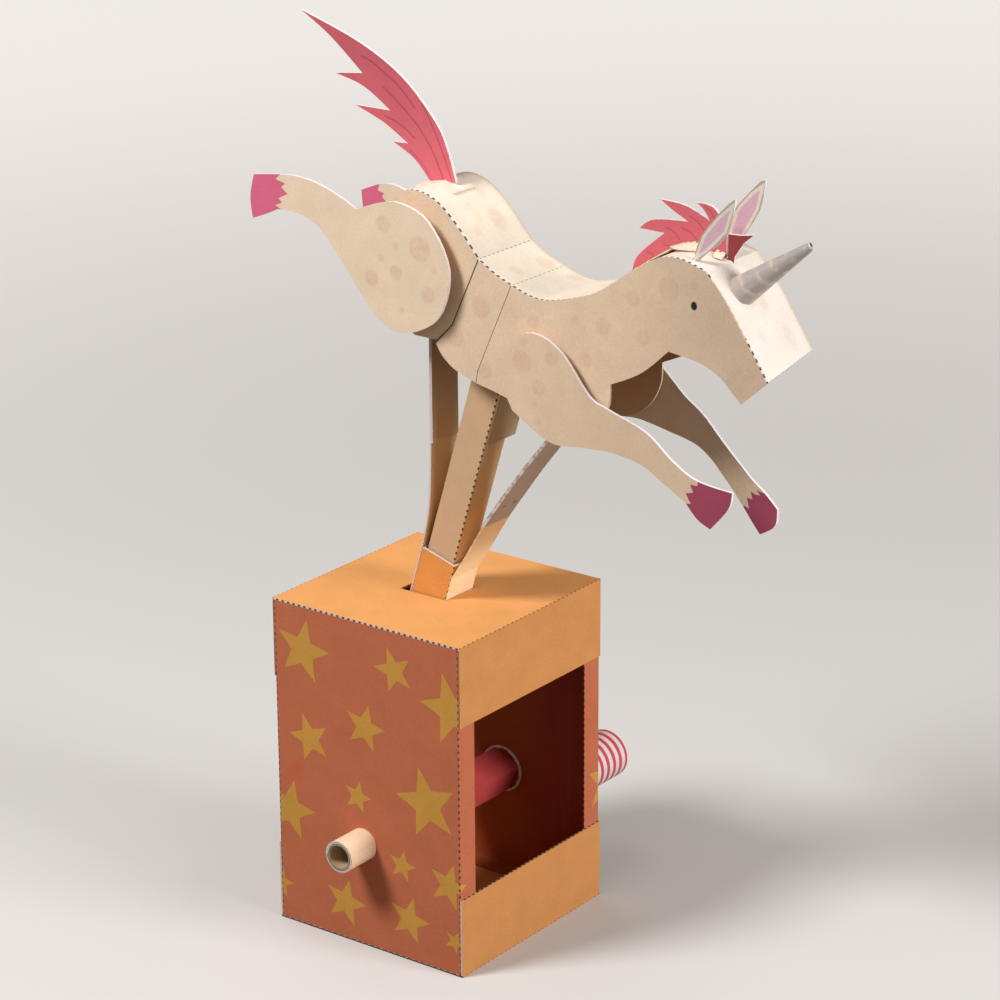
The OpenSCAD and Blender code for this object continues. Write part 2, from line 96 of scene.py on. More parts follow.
# a value that varies over a surface: one output of a material node, with plain arithmetic
class Field:
    def __init__(self, socket):
        self.socket, self.tree = socket, socket.id_data

    def __add__(self, other):
        return calc("ADD", self, other)

    def __sub__(self, other):
        return calc("SUBTRACT", self, other)

    def __rsub__(self, other):
        return calc("SUBTRACT", other, self)

    def __mul__(self, other):
        return calc("MULTIPLY", self, other)

    def __truediv__(self, other):
        return calc("DIVIDE", self, other)

    def __abs__(self):
        return calc("ABSOLUTE", self)

    def __gt__(self, limit):
        return calc("GREATER_THAN", self, limit)

    def __lt__(self, limit):
        return calc("LESS_THAN", self, limit)


def treeOf(values):
    return next(value.tree for value in values if isinstance(value, Field))


def feed(socket, value):
    if isinstance(value, Field):
        value.tree.links.new(value.socket, socket)
    else:
        socket.default_value = (*value, 1.0) if socket.type == "RGBA" else value


def makeNode(tree, kind, *values, **settings):
    node = tree.nodes.new(kind)
    for name, value in settings.items():
        setattr(node, name, value)
    for socket, value in zip(node.inputs, values):
        feed(socket, value)
    return node


def calc(operation, *values, clamp=False):
    node = makeNode(treeOf(values), "ShaderNodeMath", *values, operation=operation, use_clamp=clamp)
    return Field(node.outputs[0])


def vecCalc(operation, *values):
    node = makeNode(treeOf(values), "ShaderNodeVectorMath", *values, operation=operation)
    return Field(node.outputs["Value" if operation in ("DOT_PRODUCT", "LENGTH", "DISTANCE") else "Vector"])


def scaled(vector, factor):
    node = makeNode(treeOf((vector, factor)), "ShaderNodeVectorMath", vector, operation="SCALE")
    feed(node.inputs["Scale"], factor)
    return Field(node.outputs[0])


def blendInk(amount, under, over):
    node = makeNode(treeOf((amount, under, over)), "ShaderNodeMix", amount, data_type="RGBA")
    for slot, colour in ((6, under), (7, over)):    # the colour inputs of a mix node
        feed(node.inputs[slot], colour)
    return Field(node.outputs[2])


def joinXYZ(x, y, z):
    return Field(makeNode(treeOf((x, y, z)), "ShaderNodeCombineXYZ", x, y, z).outputs[0])


def splitXYZ(vector):
    return [Field(socket) for socket in makeNode(vector.tree, "ShaderNodeSeparateXYZ", vector).outputs]


def noiseOf(point, size, detail=2.0):
    node = makeNode(point.tree, "ShaderNodeTexNoise")
    feed(node.inputs["Vector"], point)
    node.inputs["Scale"].default_value = 1.0 / size
    node.inputs["Detail"].default_value = detail
    return Field(node.outputs["Fac"])


def softStep(value, low, high):
    node = makeNode(value.tree, "ShaderNodeMapRange", value, low, high, 0.0, 1.0,
                    interpolation_type="SMOOTHSTEP")
    return Field(node.outputs[0])


def largest(first, *others):
    for value in others:
        first = calc("MAXIMUM", first, value)
    return first


def smallest(first, *others):
    for value in others:
        first = calc("MINIMUM", first, value)
    return first


def pick(mask, off, on):
    return mask * on + (1.0 - mask) * off


def maskOf(inside, sharpness=8.0):
    # 1 where a distance into a shape is positive, with a thin soft border
    return calc("ADD", inside * sharpness, 0.5, clamp=True)


def near(value, target, reach):
    return maskOf(reach - abs(value - target))


def squareTo(facing):
    # where the surface looks along an axis, by that part of its normal
    return abs(facing) > 0.5


def patchy(point, size, low, high):
    # cloudy patches: noise of a size, faded in between two levels
    return softStep(noiseOf(point, size), low, high)


def reachFrom(place, centre):
    # distance from an axis across the toy, and turns round it
    x, y, z = place["xyz"]
    dx, dz = x - centre[0], z - centre[2]
    return calc("SQRT", dx * dx + dz * dz), calc("ARCTAN2", dz, dx) / (2 * math.pi)


def turnedAxes(point, degrees, origin=(0, 0, 0)):
    # distances along and across a direction in the upright plane
    a = math.radians(degrees)
    away = vecCalc("SUBTRACT", point, origin)
    return (vecCalc("DOT_PRODUCT", away, (math.cos(a), 0, math.sin(a))),
            vecCalc("DOT_PRODUCT", away, (-math.sin(a), 0, math.cos(a))))


# print shapes, each a node group that gives a mask
def newGroup(name, **inputs):
    tree = bpy.data.node_groups.new(name, "ShaderNodeTree")
    for label, kind in inputs.items():
        tree.interface.new_socket(name=label, in_out="INPUT", socket_type="NodeSocket" + kind)
    tree.interface.new_socket(name="mask", in_out="OUTPUT", socket_type="NodeSocketFloat")
    given = makeNode(tree, "NodeGroupInput").outputs
    return tree, [Field(given[label]) for label in inputs], makeNode(tree, "NodeGroupOutput").inputs[0]


def makeStarGroup(waist=0.42):
    tree, (point, centre, radius, turn), mask = newGroup(
        "starPrint", point="Vector", centre="Vector", radius="Float", turn="Float")
    x, y, z = splitXYZ(vecCalc("SUBTRACT", point, centre))
    reach = calc("SQRT", x * x + z * z)
    fromTip = abs(calc("WRAP", calc("ARCTAN2", z, x) - turn, math.pi / 5, -math.pi / 5))
    # across one straight side of the star, from its tip to its waist
    side = Vector((waist * math.sin(math.pi / 5), 1 - waist * math.cos(math.pi / 5))).normalized()
    outward = reach * calc("COSINE", fromTip) * side[0] + reach * calc("SINE", fromTip) * side[1]
    feed(mask, maskOf(radius * side[0] - outward))
    return tree


def makeSpotGroup():
    tree, (point, centre, radius, softness), mask = newGroup(
        "softSpot", point="Vector", centre="Vector", radius="Float", softness="Float")
    feed(mask, maskOf((radius - vecCalc("DISTANCE", point, centre)) / softness, 1.0))
    return tree


def makeStrokeGroup():
    tree, (point, start, end, width), mask = newGroup(
        "inkStroke", point="Vector", start="Vector", end="Vector", width="Float")
    fromStart, run = vecCalc("SUBTRACT", point, start), vecCalc("SUBTRACT", end, start)
    share = calc("DIVIDE", vecCalc("DOT_PRODUCT", fromStart, run), vecCalc("DOT_PRODUCT", run, run),
                 clamp=True)
    feed(mask, maskOf(width - vecCalc("DISTANCE", fromStart, scaled(run, share)), 6.0))
    return tree


printShapes = {"star": makeStarGroup(), "spot": makeSpotGroup(), "stroke": makeStrokeGroup()}


def printed(shape, *values):
    return Field(makeNode(treeOf(values), "ShaderNodeGroup", *values, node_tree=printShapes[shape]).outputs[0])


def strokesOf(point, lines):
    return largest(*[printed("stroke", point, (x1, 0, z1), (x2, 0, z2), width)
                     for width, line in lines for (x1, z1), (x2, z2) in zip(line, line[1:])])


def spotsOf(point, spots, softness=0.8):
    return largest(*[printed("spot", point, (x, 0, z), radius, softness) for x, z, radius in spots])


foldPitch, edgePitch = 2.1, 1.9     # of the dots and dashes printed along folds and edges


def dotRow(along, across, radius, pitch=foldPitch):
    step = (calc("FRACT", along / pitch) - 0.5) * pitch
    return maskOf(radius - calc("SQRT", step * step + across * across))


def dashes(along, share=0.45, pitch=foldPitch):
    return maskOf(share - calc("FRACT", along / pitch), 12.0)


# printed card: colour, print, cut edges, fibres; sizes and heights in millimetres
cardLook = {
    "roughness": 0.78,
    "specular": 0.28,
    "clouds": (9.0, 0.22),          # size and strength of the ink's cloudiness
    "speckle": (0.55, 0.30),        # the printer's own fine speckle
    "fibres": (0.4, 4.0, 0.03),     # size, detail and height
    "fibreBump": 0.35,
    "waves": (16.0, 1.0, 0.6),
    "waveBump": 0.10,
}


def bumpOf(point, relief, strength):
    size, detail, height = relief
    node = makeNode(point.tree, "ShaderNodeBump")
    node.inputs["Strength"].default_value = strength
    node.inputs["Distance"].default_value = height * mm
    feed(node.inputs["Height"], noiseOf(point, size, detail))
    return node


def cardMaterial(name, ink, paint=None, **changes):
    look = {**cardLook, **changes}
    material = bpy.data.materials.new(name)
    material.use_nodes = True
    tree = material.node_tree
    shader = tree.nodes["Principled BSDF"]
    coords = makeNode(tree, "ShaderNodeTexCoord").outputs
    point, normal = scaled(Field(coords["Object"]), 1 / mm), Field(coords["Normal"])
    place = {"point": point, "xyz": splitXYZ(point), "normal": normal, "facing": splitXYZ(normal)}
    colour = paint(place, inks[ink]) if paint else inks[ink]
    shade = 1.0
    for size, strength in (look["clouds"], look["speckle"]):
        shade = (noiseOf(point, size, 3.0) - 0.5) * strength + shade
    feed(shader.inputs["Base Color"], scaled(colour, shade))
    shader.inputs["Roughness"].default_value = look["roughness"]
    shader.inputs["Specular IOR Level"].default_value = look["specular"]
    fibres = bumpOf(point, look["fibres"], look["fibreBump"])
    waves = bumpOf(point, look["waves"], look["waveBump"])
    feed(waves.inputs["Normal"], Field(fibres.outputs[0]))
    feed(shader.inputs["Normal"], Field(waves.outputs[0]))
    return material


def isEdge(place, facesAlong=(0.0, 1.0, 0.0)):
    return abs(vecCalc("DOT_PRODUCT", place["normal"], facesAlong)) < 0.55


def bodyPoint(place):
    # flat place on the body's side, from its own reference point
    x, y, z = placesOf["body"]
    return vecCalc("SUBTRACT", vecCalc("MULTIPLY", place["point"], (1, 0, 1)), (x, 0, z))


def turned(point, about, degrees):
    away = vecCalc("SUBTRACT", point, (about[0], 0, about[1]))
    node = makeNode(point.tree, "ShaderNodeMapping", away, vector_type="POINT")
    node.inputs["Rotation"].default_value = (0, math.radians(degrees), 0)
    return vecCalc("ADD", Field(node.outputs[0]), (about[0], 0, about[1]))


# box
starPrint = {   # x and z on the wall's print, radius and turn in degrees
    "stars": [(-23.8, 90.6, 10.2, 8), (10.8, 92.4, 7.3, -34), (31.7, 85.0, 11.4, 34), (-21.9, 62.8, 8.0, -35),
              (-0.5, 71.5, 7.7, 6), (22.4, 52.9, 11.7, 33), (-3.8, 48.4, 5.4, 6), (-30.4, 37.5, 10.0, 7),
              (12.8, 30.4, 5.2, 8), (30.3, 28.6, 7.6, 4), (-34.7, 12.0, 5.0, 6), (-9.3, 12.2, 7.9, 6),
              (15.2, 13.3, 7.7, 6), (32.2, 11.0, 3.8, -5)],
    "wallHalf": 34.4,
    "flangeTop": 60.0,              # the fold hides the print higher up on the flanges
    "rim": (27.75, 34.0),           # the flange's cut edge lies inside this y and past this x
    "smudgeAt": (-27.6, 0, 50.2), "smudgeSquash": (1.0, 0, 0.62), "smudge": 0.45, "smudgeInk": (0.600, 0.110, 0.040),
    "redFrom": (2.0, 20.0),         # x, where the inside turns from orange to red
    "foldDot": 0.52, "foldStretch": 1.3, "foldInk": (0.090, 0.040, 0.040),
}


def paintStarWall(side):
    def paint(place, colour):
        x, y, z = place["xyz"]
        nx, ny, nz = place["facing"]
        sign = calc("SIGN", x)
        onFlange = squareTo(nx)
        depth = placesOf["boxHalf"] - abs(y)
        # the print runs round the folds onto the flanges
        across = pick(onFlange, x, sign * (depth + starPrint["wallHalf"])) * float(side)
        point = joinXYZ(across, 0.0, z)
        stars = largest(*[printed("star", point, (sx, 0, sz), radius, math.radians(turn))
                          for sx, sz, radius, turn in starPrint["stars"]])
        outside = largest(ny * -float(side), nx * sign) > 0.5
        if side > 0:
            away = vecCalc("MULTIPLY", vecCalc("SUBTRACT", point, starPrint["smudgeAt"]), starPrint["smudgeSquash"])
            smudge = printed("spot", away, (0, 0, 0), 2.6, 3.0)
            colour = blendInk(smudge * starPrint["smudge"], colour, starPrint["smudgeInk"])
        hidden = onFlange * (z > starPrint["flangeTop"])
        colour = blendInk(stars * outside * (1.0 - hidden), colour, inks["ochre"])
        # bare inside, streaked upwards
        streaks = noiseOf(vecCalc("MULTIPLY", place["point"], (1.0, 1.0, 0.02)), 0.8, 1.0)
        redder = softStep(x, *starPrint["redFrom"]) * (streaks + 0.35)
        colour = blendInk(outside, blendInk(redder, inks["innerOrange"], inks["innerRed"]), colour)
        # dotted folds where the wall turns into its flanges
        fromFold = largest(pick(onFlange, starPrint["wallHalf"] - abs(x), depth), 0.0)
        shown = outside if side > 0 else outside * (1.0 - onFlange)
        dots = dotRow(z, fromFold * starPrint["foldStretch"], starPrint["foldDot"])
        colour = blendInk(dots * shown, colour, starPrint["foldInk"])
        if side > 0:
            return colour
        rim = (abs(y) < starPrint["rim"][0]) * (abs(x) > starPrint["rim"][1])
        return blendInk(rim * dashes(z), colour, inks["foldInk"])
    return paint


panelPrint = {
    "slotCut": (0.330, 0.150, 0.085), "topCut": (0.700, 0.600, 0.580), "topDash": (0.110, 0.070, 0.070),
    "baseCut": (0.600, 0.480, 0.430), "footShadow": (0.045, 0.035, 0.035), "footDash": (0.120, 0.080, 0.075),
    "rim": (0.620, 0.340, 0.160),
    "rimLow": 24.8, "edgeBand": 0.7, "footLow": 0.42, "footPitch": 2.4, "foldDot": 0.36,
}


def paintTop(place, colour):
    x, y, z = place["xyz"]
    nx, ny, nz = place["facing"]
    flap = squareTo(nx)
    # painted shade: the side flaps get the darker copy of the orange
    colour = blendInk(flap, colour, inks["flapOrange"])
    underside = (nz < -0.5) * (z > placesOf["boxTop"] - 15)
    colour = blendInk(underside, colour, inks["innerOrange"])
    fromFold = largest(pick(flap, placesOf["boxHalf"] - abs(x), placesOf["boxTop"] - z), 0.0)
    colour = blendInk(dotRow(y, fromFold, panelPrint["foldDot"]), colour, inks["foldBrown"])
    cut = squareTo(ny)
    topCut = cut * (z > placesOf["boxTop"] - panelPrint["edgeBand"])
    colour = blendInk(cut, colour, panelPrint["slotCut"])
    colour = blendInk(topCut, colour, panelPrint["topCut"])
    return blendInk(topCut * dashes(x), colour, panelPrint["topDash"])


def paintBase(place, colour):
    x, y, z = place["xyz"]
    nx, ny, nz = place["facing"]
    cut = squareTo(ny)
    foot = cut * (z < panelPrint["edgeBand"])
    colour = blendInk(cut, colour, panelPrint["baseCut"])
    # painted contact shadow: a dark line along the foot of the base's cut edge
    colour = blendInk(foot * (z < panelPrint["footLow"]), colour, panelPrint["footShadow"])
    colour = blendInk(foot * dashes(x, 0.6, panelPrint["footPitch"]), colour, panelPrint["footDash"])
    rim = (z > panelPrint["rimLow"]) * (nz > 0.5)
    colour = blendInk(rim, colour, panelPrint["rim"])
    colour = blendInk(rim * dashes(y), colour, inks["foldInk"])
    return blendInk(dotRow(y, z, panelPrint["foldDot"]) * squareTo(nx), colour, inks["foldBrown"])


# sleeve and rod, along the tilted rod
rodPrint = {
    "sleeveHalf": 6.2, "sleeveTop": 18.45, "sleeveEdge": (0.300, 0.100, 0.060), "sleeveDot": 0.35,
    "half": 5.0, "bounceLitSide": (0.840, 0.540, 0.270), "fold": (0.055, 0.045, 0.030), "nearDot": 0.46, "farDot": 0.42,
}


def alongRod(place):
    u, v = turnedAxes(place["point"], -placesOf["rodTilt"], placesOf["pivot"])
    return u, place["xyz"][1], v


def paintSleeve(place, colour):
    u, y, v = alongRod(place)
    half = rodPrint["sleeveHalf"]
    colour = blendInk(v > rodPrint["sleeveTop"], colour, inks["cutWhite"])
    onNear = near(y, -half, 0.6)
    fromFold = largest(half - u, y + half)
    colour = blendInk(onNear * dotRow(v, fromFold, rodPrint["sleeveDot"]), colour, inks["foldInk"])
    return blendInk(near(u, -half, 0.16) * onNear, colour, rodPrint["sleeveEdge"])


def paintRod(place, colour):
    u, y, v = alongRod(place)
    half = rodPrint["half"]
    # painted light: the side over the box's top is painted warmer and lighter, for the warm light that the orange
    # top throws back on it
    colour = blendInk(u > half - 0.04, colour, rodPrint["bounceLitSide"])
    colour = blendInk(dotRow(v, largest(half - u, y + half), rodPrint["nearDot"]), colour, rodPrint["fold"])
    return blendInk(dotRow(v, largest(u + half, half - y), rodPrint["farDot"]), colour, rodPrint["fold"])


# strips that swing the legs
stripPrint = {
    "hindFold": 153.3, "hindSlant": 0.18, "hindLow": (0.620, 0.400, 0.205), "hindCut": (0.620, 0.560, 0.540),
    "frontFold": 130.7, "frontHalf": 5.8, "frontWarmShade": (0.620, 0.350, 0.165), "frontHighShade": (0.345, 0.228, 0.152),
    "frontCut": (0.430, 0.330, 0.270), "frontDots": (0.170, 0.105, 0.075), "frontDot": 0.36,
    "warmShadeFrom": (112.0, 129.0), "crease": 137.2, "creaseAcross": (3.2, 1.5),
}


def paintHindStrip(place, colour):
    x, y, z = place["xyz"]
    fold = stripPrint["hindFold"] - y * stripPrint["hindSlant"]
    # lighter below the fold; the darker card above is the doubler's layer, its colour partly its own and partly
    # painted shade under the body
    colour = blendInk(z < fold, colour, stripPrint["hindLow"])
    return blendInk(squareTo(place["facing"][1]), colour, stripPrint["hindCut"])


def paintFrontStrip(place, colour):
    x, y, z = place["xyz"]
    cut = squareTo(place["facing"][1])
    high = z > stripPrint["frontFold"]
    # painted shade: the strip turns warmer and darker as it rises under the body; above its fold the card is a
    # second layer, painted darker brown still, partly its own card and partly painted shade
    colour = blendInk(softStep(z, *stripPrint["warmShadeFrom"]), colour, stripPrint["frontWarmShade"])
    colour = blendInk(high, colour, stripPrint["frontHighShade"])
    colour = blendInk(cut * high, colour, stripPrint["frontCut"])
    edgeLine = cut * (noiseOf(place["point"], 2.0) > 0.50)
    colour = blendInk(edgeLine * 0.5, colour, inks["cutWhite"])
    dots = dotRow(z, stripPrint["frontHalf"] - y, stripPrint["frontDot"], edgePitch)
    colour = blendInk(dots * (z > stripPrint["crease"] - 0.2), colour, stripPrint["frontDots"])
    crease = near(z, stripPrint["crease"], 0.25) * near(abs(y), *stripPrint["creaseAcross"])
    return blendInk(crease * (noiseOf(place["point"], 1.2) > 0.48), colour, inks["foldInk"])


# crank
tubeRoll = {    # radii of the paper layers that show at the tube's end, with their colours
    "end": (0.700, 0.630, 0.640),
    "gapAt": 4.74, "gap": (0.060, 0.045, 0.045),
    "shadeAt": 4.34, "shade": (0.090, 0.065, 0.055),
    "coreAt": 4.20, "core": (0.330, 0.235, 0.130),
    "boreAt": 3.75, "bore": (0.300, 0.190, 0.100),
    "climb": 0.45, "seamAt": 0.115, "seam": 0.15,      # the free edge's place round the tube, in turns
}


def paintTube(place, colour):
    reach, angle = reachFrom(place, placesOf["shaft"])
    end = squareTo(place["facing"][1])
    rolled = reach + angle * tubeRoll["climb"]
    colour = blendInk(end, colour, tubeRoll["end"])
    colour = blendInk(end * near(rolled, tubeRoll["gapAt"], 0.05), colour, tubeRoll["gap"])
    for layer in ("shade", "core"):
        colour = blendInk(end * (rolled < tubeRoll[layer + "At"]), colour, tubeRoll[layer])
    bore = (reach < tubeRoll["boreAt"]) * (1.0 - end)
    colour = blendInk(bore * 0.6, colour, tubeRoll["bore"])
    # the roll's free edge, a faint straight line along the tube
    seam = near(angle * 40.0, tubeRoll["seamAt"] * 40.0, 0.08) * (reach > 4.9)
    return blendInk(seam * tubeRoll["seam"], colour, inks["tan"])


squarePrint = {"half": 5.0, "foldDot": 0.34, "fold": (0.050, 0.012, 0.015), "scuffs": 0.75}


def paintSquare(origin):
    def paint(place, colour):
        u, v = turnedAxes(place["point"], -placesOf["crankAngle"], origin)
        fromFold = largest(squarePrint["half"] - abs(u), squarePrint["half"] - abs(v))
        scuff = noiseOf(place["point"], 2.3, 3.0) > 0.52
        worn = near(fromFold, 0.0, 0.24) * scuff
        colour = blendInk(worn * squarePrint["scuffs"], colour, inks["cutWhite"])
        dots = dotRow(place["xyz"][1], fromFold, squarePrint["foldDot"])
        return blendInk(dots, colour, squarePrint["fold"])
    return paint


gripStripes = {"pitch": 3.3, "white": 0.52, "start": 47.1, "ink": (0.760, 0.660, 0.700), "outside": 7.6}


def paintGrip(place, colour):
    step = calc("FRACT", (place["xyz"][1] - gripStripes["start"]) / gripStripes["pitch"])
    white = maskOf(gripStripes["white"] / 2 - abs(step - 0.5), 12.0)
    reach, angle = reachFrom(place, placesOf["handle"])
    colour = blendInk(white * (reach > gripStripes["outside"]), colour, gripStripes["ink"])
    return blendInk(squareTo(place["facing"][1]), colour, inks["cutWhite"])


# body
bodyPrint = {
    "spots": [(6.0, 30.2, 3.3), (24.4, 29.0, 2.0), (38.5, 32.2, 1.1), (48.3, 31.7, 2.6), (61.6, 30.9, 2.4),
              (70.1, 46.1, 3.4), (58.2, 41.6, 2.3), (78.2, 48.5, 1.2), (7.2, 11.3, 2.4), (42.4, 21.0, 2.2),
              (-3.4, 19.7, 3.0), (14.7, 8.9, 1.2), (-18.0, 44.0, 2.6), (-24.0, 30.0, 2.0)],
    "seams": [(0.20, [(5.1, 43.8), (-4.4, 23.1), (-10.4, 16.8)]), (0.10, [(16.6, 38.1), (4.7, 11.2), (4.0, 7.4)])],
    "seamInk": (0.060, 0.040, 0.030),
    "eye": (78.3, 0, 42.8), "eyeRadius": 1.22, "eyeInk": (0.012, 0.014, 0.008),
    "dash": (0.085, 0.070, 0.070),
    "rubbed": (36.5, 51.5),         # heights between which the face's dashes are nearly worn away
    "paintedShadeFrom": (45.0, 95.0), "paintedShadeDepth": 0.22,      # painted shade: the card turns away a little towards the muzzle, so it is painted darker there
}


def speckled(place):
    # spots are printed unevenly
    return patchy(place["point"], 1.1, 0.25, 0.75) * 0.35 + 0.25


def dashMask(point, onFace):
    # printed dashes along a cut edge, worn away in places
    x, y, z = splitXYZ(point)
    low, high = bodyPrint["rubbed"]
    rubbed = onFace * (z < high) * (z > low)
    kept = patchy(point, 2.5, 0.28, 0.40) * (1.0 - rubbed * 0.85)
    return dashes(pick(onFace, x, z), 0.5, edgePitch) * kept


def paintBodySide(place, colour):
    point = bodyPoint(place)
    x = splitXYZ(point)[0]
    across, (nx, ny, nz) = place["xyz"][1], place["facing"]
    outside = abs(across) > placesOf["bodyHalf"]
    spots = spotsOf(point, bodyPrint["spots"]) * outside
    colour = blendInk(spots * speckled(place), colour, inks["pinkSpot"])
    seams = strokesOf(point, bodyPrint["seams"]) * outside
    colour = blendInk(seams, colour, bodyPrint["seamInk"])
    fromEye = vecCalc("MULTIPLY", vecCalc("SUBTRACT", point, bodyPrint["eye"]), (1.25, 0, 1.0))
    eye = printed("spot", fromEye, (0, 0, 0), bodyPrint["eyeRadius"], 0.30) * outside
    colour = blendInk(eye, colour, bodyPrint["eyeInk"])
    # painted shade, darker towards the muzzle
    colour = scaled(colour, 1.0 - softStep(x, *bodyPrint["paintedShadeFrom"]) * bodyPrint["paintedShadeDepth"])
    facesOut = ny * calc("SIGN", across) > 0.5
    # painted shade: the inner faces get a darker, warmer cream, standing in for the shade inside the body and the
    # warm light through the card
    colour = blendInk(facesOut, inks["innerCreamShade"], colour)
    edge = isEdge(place)
    onFace = x > placesOf["faceStart"]
    nearTop = edge * (nz > 0.0) * (across < 0.0)
    colour = blendInk(edge, colour, inks["cutCream"])
    colour = blendInk(nearTop * (1.0 - onFace * 0.8), colour, inks["cutWhite"])
    return blendInk(nearTop * dashMask(point, onFace), colour, bodyPrint["dash"])


backPrint = {   # x along the body, place across it, radius
    "spots": [(-1.4, 4.5, 2.8), (-0.1, -6.0, 1.2), (13.3, 8.0, 2.8), (12.3, -4.5, 2.0), (22.5, 9.5, 2.4),
              (25.7, -1.0, 1.3), (-6.1, -3.0, 0.9), (-8.4, 6.0, 1.6), (-20.0, -4.0, 2.4), (-27.0, 5.0, 2.0),
              (38.0, 4.5, 2.2), (90.5, 2.0, 1.6), (95.5, -5.5, 1.1), (97.0, 6.0, 2.0), (86.0, 7.5, 1.2)],
    "faceFrom": (66.0, 80.0), "faceInk": (0.820, 0.750, 0.675),
    "folds": (5.1, 16.7), "foldInk": (0.400, 0.315, 0.265),
    "spotted": 0.26,                # how strongly the spots are printed
    "stainAt": (-2.4, 0, -2.6), "stain": 0.30, "stainInk": (0.900, 0.560, 0.210),
    "hornFoot": (86.4, -3.5, 45.6), "hornFootInk": (0.640, 0.420, 0.250),
    "farEdgeFrom": (10.8, 12.6), "farEdge": 0.45, "farEdgeInk": (0.700, 0.520, 0.360),
    "lapFrom": -12.2, "dash": (0.130, 0.110, 0.110),
}


def paintBack(place, colour):
    point = bodyPoint(place)
    x = splitXYZ(point)[0]
    across = place["xyz"][1]
    colour = blendInk(softStep(x, *backPrint["faceFrom"]), colour, backPrint["faceInk"])
    folds = largest(*[near(x, fold, 0.13) for fold in backPrint["folds"]])
    colour = blendInk(folds * dashes(across, 0.55), colour, backPrint["foldInk"])
    flat = joinXYZ(x, 0.0, across)
    spots = spotsOf(flat, backPrint["spots"], 1.2)
    colour = blendInk(spots * backPrint["spotted"], colour, inks["pinkSpot"])
    stain = printed("spot", flat, backPrint["stainAt"], 1.3, 2.2)
    colour = blendInk(stain * backPrint["stain"], colour, backPrint["stainInk"])
    # glue and handling have browned the card round the horn; the card is also darker towards its far edge
    fromBody = vecCalc("SUBTRACT", place["point"], placesOf["body"])
    hornFoot = printed("spot", fromBody, backPrint["hornFoot"], 5.0, 3.0)
    browned = noiseOf(place["point"], 2.2) * hornFoot * 0.8
    colour = blendInk(browned, colour, backPrint["hornFootInk"])
    farEdge = softStep(across, *backPrint["farEdgeFrom"]) * backPrint["farEdge"]
    colour = blendInk(farEdge, colour, backPrint["farEdgeInk"])
    # the dashed cut edge laps a hair over the strip
    onFace = x > placesOf["faceStart"]
    lap = across < backPrint["lapFrom"]
    colour = blendInk(lap * (1.0 - onFace * 0.8), colour, inks["cutWhite"])
    return blendInk(lap * dashMask(point, onFace), colour, backPrint["dash"])


# legs
legPrint = {
    "hindSpots": [(-25.8, 50.3, 2.4), (-12.7, 45.0, 3.7), (-21.2, 44.6, 1.0), (-26.8, 40.2, 1.1), (-30.3, 33.6, 2.5),
                  (-21.4, 36.6, 2.2), (-7.6, 39.5, 1.1), (-9.9, 31.9, 2.5), (-19.5, 25.7, 1.0)],
    "frontSpots": [(22.7, 17.8, 3.2), (32.7, 20.4, 2.2), (28.3, 11.2, 2.3), (23.2, 23.7, 1.1), (36.5, 10.9, 0.9),
                   (27.0, 6.2, 0.9), (27.9, 1.2, 1.2)],
    "hindHoof": [(-62.0, 61.0), (-64.0, 59.2), (-65.7, 57.6), (-62.1, 56.8), (-63.7, 55.5), (-61.3, 53.8),
                 (-64.8, 52.0), (-63.5, 50.9), (-66.0, 49.8), (-63.0, 48.4), (-62.0, 46.0)],
    "farHindShift": 2.2,    # the far hind hoof's line, towards the body
    "frontHoof": [(83.0, -3.0), (82.4, -5.2), (82.3, -7.0), (79.8, -7.1), (80.9, -9.2), (78.4, -9.9), (80.1, -12.6),
                  (77.8, -13.0), (77.0, -16.0)],
    "farFrontHoof": [(91.0, -3.0), (89.5, -5.4), (88.1, -6.5), (86.4, -5.5), (86.5, -6.9), (84.8, -6.7),
                     (85.9, -8.7), (84.0, -9.0), (85.5, -11.9), (83.8, -11.6), (82.5, -14.0)],
    "frontAxis": -22.0,     # the front shin's slope, in degrees
    "paintedShadeFrom": (20.0, 60.0), "paintedShadeDepth": 0.1,       # painted shade, darker along the front leg
}


def hoofMask(point, line, slope, outward):
    # everything past a jagged line that runs across the shin
    cos, sin = math.cos(math.radians(slope)), math.sin(math.radians(slope))
    knots = sorted((z * cos - x * sin, x * cos + z * sin) for x, z in line)
    lowV, highV = knots[0][0], knots[-1][0]
    lowU, highU = min(u for v, u in knots), max(u for v, u in knots)
    along, across = turnedAxes(point, slope)
    ramp = makeNode(point.tree, "ShaderNodeValToRGB", (across - lowV) / (highV - lowV))
    elements = ramp.color_ramp.elements
    for k, (v, u) in enumerate(knots):
        where, grey = (v - lowV) / (highV - lowV), (u - lowU) / (highU - lowU)
        element = elements[k] if k < 2 else elements.new(where)
        element.position, element.color = where, (grey, grey, grey, 1)
    border = Field(ramp.outputs[0]) * (highU - lowU) + lowU
    return maskOf(along - border, outward * 6.0)


def unbent(point):
    # undo the far hind leg's swing about the axle, then its outward bend
    swung = turned(point, placesOf["hindAxle"], placesOf["hindStagger"])
    x, y, z = splitXYZ(swung)
    behind = smallest(x - placesOf["hindBend"], 0.0) / math.cos(math.radians(placesOf["hindSplay"]))
    return joinXYZ(largest(x, placesOf["hindBend"]) + behind, 0.0, z)


